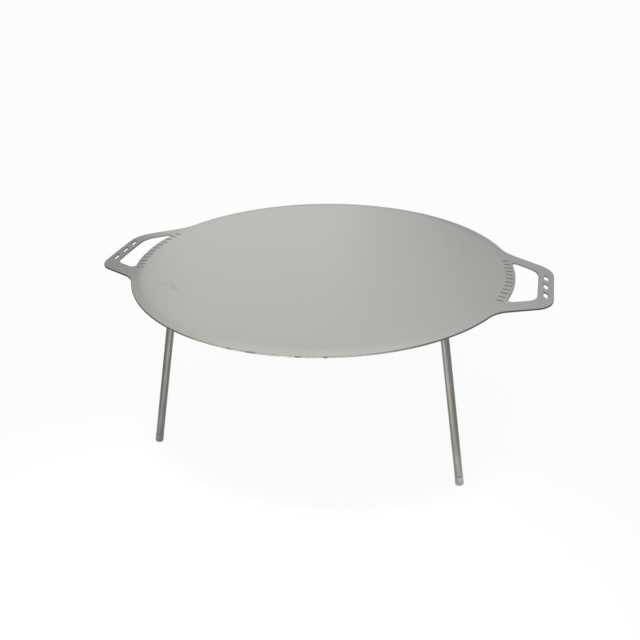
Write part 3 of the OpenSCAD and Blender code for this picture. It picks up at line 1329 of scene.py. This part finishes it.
def ripple_tree():
    sizes = {"Ripples": "Float", "Ripple height": "Float", "Bend back": "Float", "Wander": "Float"}
    given = shape_tree("weld_ripples", sizes | {"Metal": "Material"})
    across = attribute(given, "across")
    belly = given.maths("SINE", across * math.pi)
    place = given.node("GeometryNodeInputPosition")
    sockets = {"Vector": place, "Scale": DRIFT_SCALE, "Detail": 1.0}
    drift = given.node("ShaderNodeTexNoise", {}, sockets, "Fac") - 0.5
    phase = attribute(given, "round") * given.pick("Ripples") + belly * given.pick("Bend back")
    phase = phase + drift * DRIFT_SHARE
    swing = given.maths("FRACT", phase) * 2 - 1
    crest = 1 - swing * swing
    lift = belly * (crest * given.pick("Ripple height") + drift * given.pick("Wander"))
    out = attribute(given, "out", "FLOAT_VECTOR")
    step = out.vector_maths("SCALE", {0: out, "Scale": lift})
    sockets = {"Geometry": move_points(given, "Offset", step), "Name": "crest", "Value": crest}
    shape = given.node("GeometryNodeStoreNamedAttribute", {"data_type": "FLOAT", "domain": "POINT"}, sockets)
    return end_tree(shape, [(given.pick("Metal"), None)])


# %% Lay the beads
WELD_SHARP = math.radians(60)
weld_ripples = ripple_tree()
weld_metal = weld_finish()
for number in LEGS:
    weld = plain_bead(f"weld_{number}")
    run_tree(
        weld,
        weld_ripples,
        Ripples=30.0,
        Ripple_height=0.35 * MM,
        Bend_back=0.9,
        Wander=0.5 * MM,
        Metal=weld_metal,
    )
    face_outwards(weld)
    down, root = leg_line(number)
    weld.data.transform(Matrix.Translation(root) @ Matrix.Rotation(math.atan2(down.y, down.x), 4, "Z"))
    weld.data.set_sharp_from_angle(angle=WELD_SHARP)
    hand_in(weld, "griddle", f"weld_bead_{number}")

# %% [markdown]
# ## Floor
# The griddle stands on a plain white floor. The camera sees it as white, while a share of it stays
# a plain lit surface, so that the griddle's soft shadow shows. Under the griddle mirrored rays
# also see it as white, so that the inner sides of the legs aren't black.
# From below the floor is see-through, which lets a camera under it look at the underside.

# %% Floor
FLOOR_SIDE = 60.0
FLOOR_WHITE = grey(0.82)
SEEN_WHITE = 0.9
MIRRORED_WHITE = 0.12
MIRRORED_WHITE_NEAR = 0.97
NEAR_MIDDLE = (0.0, -0.04, 0.0)
NEAR_FULL = 0.16
NEAR_END = 0.28


def floor_finish():
    material, wire = start_finish("white_floor", metallic=0.0)
    rays = wire.node("ShaderNodeLightPath", {}, {}, "Is Camera Ray")
    shader = wire.tree.nodes[SHADER]
    for name, value in (("Base Color", FLOOR_WHITE), ("Roughness", 1.0), ("Specular IOR Level", 0.0)):
        wire.plug(shader, name, value)
    lit = Wire(wire.tree, shader.outputs[0])
    glow = wire.node("ShaderNodeEmission", {}, {"Color": grey(1.0), "Strength": 1.0})
    place = object_place(wire)
    away = place.vector_maths("DISTANCE", {0: place, 1: NEAR_MIDDLE}, "Value")
    near = blend(away, NEAR_FULL, NEAR_END, MIRRORED_WHITE_NEAR, MIRRORED_WHITE)
    share = rays * SEEN_WHITE + rays.pick("Is Glossy Ray") * near
    white = wire.node("ShaderNodeMixShader", {}, {0: share, 1: lit, 2: glow})
    below = wire.node("ShaderNodeNewGeometry", {}, {}, "Backfacing")
    clear = wire.node("ShaderNodeBsdfTransparent")
    both = wire.node("ShaderNodeMixShader", {}, {0: below, 1: white, 2: clear})
    wire.plug(wire.tree.nodes["Material Output"], "Surface", both)
    return material


half = FLOOR_SIDE / 2
corners = [(-half, -half, 0), (half, -half, 0), (half, half, 0), (-half, half, 0)]
floor = new_piece("floor", corners, [(0, 1, 2, 3)])
floor.data.materials.append(floor_finish())

# %% [markdown]
# ## Light
# A pale dome gives most of the light. Its brightness changes with the height above the floor.
# One soft lamp shines down on the floor in front, which lights the legs and the front edge from below.
# The camera and mirrored rays don't see the lamp itself.
# Behind the griddle stand three dark flags, as in a studio for metal: the face and the handles mirror them,
# so the left handle, the right side and the far rim turn darker.
# Only mirrored rays meet the flags, so they throw no shadow.

# %% Dome and lamp
# How bright the dome is, from level with the floor at 0 to straight up at 1.
DOME_HEIGHTS = [(0.0, 1.04), (0.3, 1.31), (0.45, 0.80), (0.6, 0.77), (0.72, 1.15), (1.0, 0.67)]
DOME_STOPS = [(height, grey(bright)) for height, bright in DOME_HEIGHTS]
LAMP_PLACE = Vector((0, -0.5, 1.8))
LAMP_SIDE = 0.4
LAMP_GLOW = 5.8
LAMP_COLOUR = (1.0, 0.94, 0.86)
LAMP_SPREAD = math.radians(32)


def pale_dome():
    world = bpy.data.worlds.new("pale_dome")
    world.use_nodes = True
    wire = Wire(world.node_tree)
    way = wire.node("ShaderNodeTexCoord", {}, {}, "Generated")
    wire.plug(wire.tree.nodes["Background"], "Color", ramp(way.axis("Z"), DOME_STOPS))
    bpy.context.scene.world = world


def floor_lamp():
    """A square lamp that points down. Its glow is how bright its face looks, where 1 is white."""
    light = bpy.data.lights.new("floor_lamp", "AREA")
    light.shape = "SQUARE"
    light.size = LAMP_SIDE
    light.energy = LAMP_GLOW * math.pi * LAMP_SIDE ** 2
    light.color = LAMP_COLOUR
    light.spread = LAMP_SPREAD
    lamp = add_object("floor_lamp", light)
    lamp.visible_camera = False
    lamp.visible_glossy = False
    lamp.location = LAMP_PLACE


pale_dome()
floor_lamp()

# %% Flags
FLAG_DISTANCE = 2.9
FLAG_HEIGHT = 1.95
LOW_FLAG_HEIGHT = 0.8
LEFT_FLAG = [(-70, 0.11, 0.65), (-34, 0.11, 0.65)]
MIDDLE_FLAG = [(-34, 0.35, 0.58), (-10, 0.35, 0.58)]
RIGHT_FLAG = [(-10, 0.77, 0.77), (-3, 0.34, 0.99), (4, 0.44, 0.72), (9, 0.53, 0.69), (40, 0.29, 0.25)]
PLAIN_TINT = grey(1.0)
COOL_TINT = rgb(0.955, 1.0, 1.0)


def flag_finish(tint):
    material, wire = new_material("dark_flag")
    glow = wire.node("ShaderNodeEmission", {}, {"Color": tint, "Strength": stored(wire, "shade")})
    wire.plug(wire.tree.nodes["Material Output"], "Surface", glow)
    return material


def flag(name, posts, height, tint):
    """A card between posts, each a bearing in degrees from straight behind, a low and a high shade."""
    bearings = [math.radians(bearing) for bearing, _, _ in posts]
    feet = [Vector((math.sin(b), math.cos(b), 0)) * FLAG_DISTANCE for b in bearings]
    tops = [foot + Vector((0, 0, height)) for foot in feet]
    count = len(posts)
    card = new_piece(name, feet + tops, [(i, i + 1, count + i + 1, count + i) for i in range(count - 1)])
    shades = [low for _, low, _ in posts] + [high for _, _, high in posts]
    store(card, "shade", shades)
    card.data.materials.append(flag_finish(tint))
    card.visible_camera = False
    card.visible_diffuse = False
    card.visible_shadow = False


flag("left_flag", LEFT_FLAG, FLAG_HEIGHT, PLAIN_TINT)
flag("middle_flag", MIDDLE_FLAG, LOW_FLAG_HEIGHT, PLAIN_TINT)
flag("right_flag", RIGHT_FLAG, FLAG_HEIGHT, COOL_TINT)

# %% [markdown]
# ## Camera
# The camera looks down on the griddle from the front, a little from the right, as in the picture to match.
# Its lens and place follow from the ellipse of the rim, the legs and the outlines of both handles.

# %% Camera
CAMERA_PLACE = Vector((0.2944, -1.1239, 0.7615))
CAMERA_TURN = math.radians(14.971)
CAMERA_PITCH = math.radians(26.710)
CAMERA_ROLL = math.radians(-0.922)
SENSOR_WIDTH = 36.0
LENS = 45.95
eye = bpy.data.cameras.new("eye")
eye.sensor_width = SENSOR_WIDTH
eye.lens = LENS
camera = add_object("camera", eye)
turned = Matrix.Rotation(CAMERA_TURN, 4, "Z") @ Matrix.Rotation(math.pi / 2 - CAMERA_PITCH, 4, "X")
camera.matrix_world = Matrix.Translation(CAMERA_PLACE) @ turned @ Matrix.Rotation(CAMERA_ROLL, 4, "Z")
bpy.context.scene.camera = camera
bpy.context.scene.view_settings.view_transform = "Standard"
print("camera at", tuple(round(c, 4) for c in camera.location))

# %% [markdown]
# ## Sizes at the end
# The dressed griddle has to fill the same box as its solids.
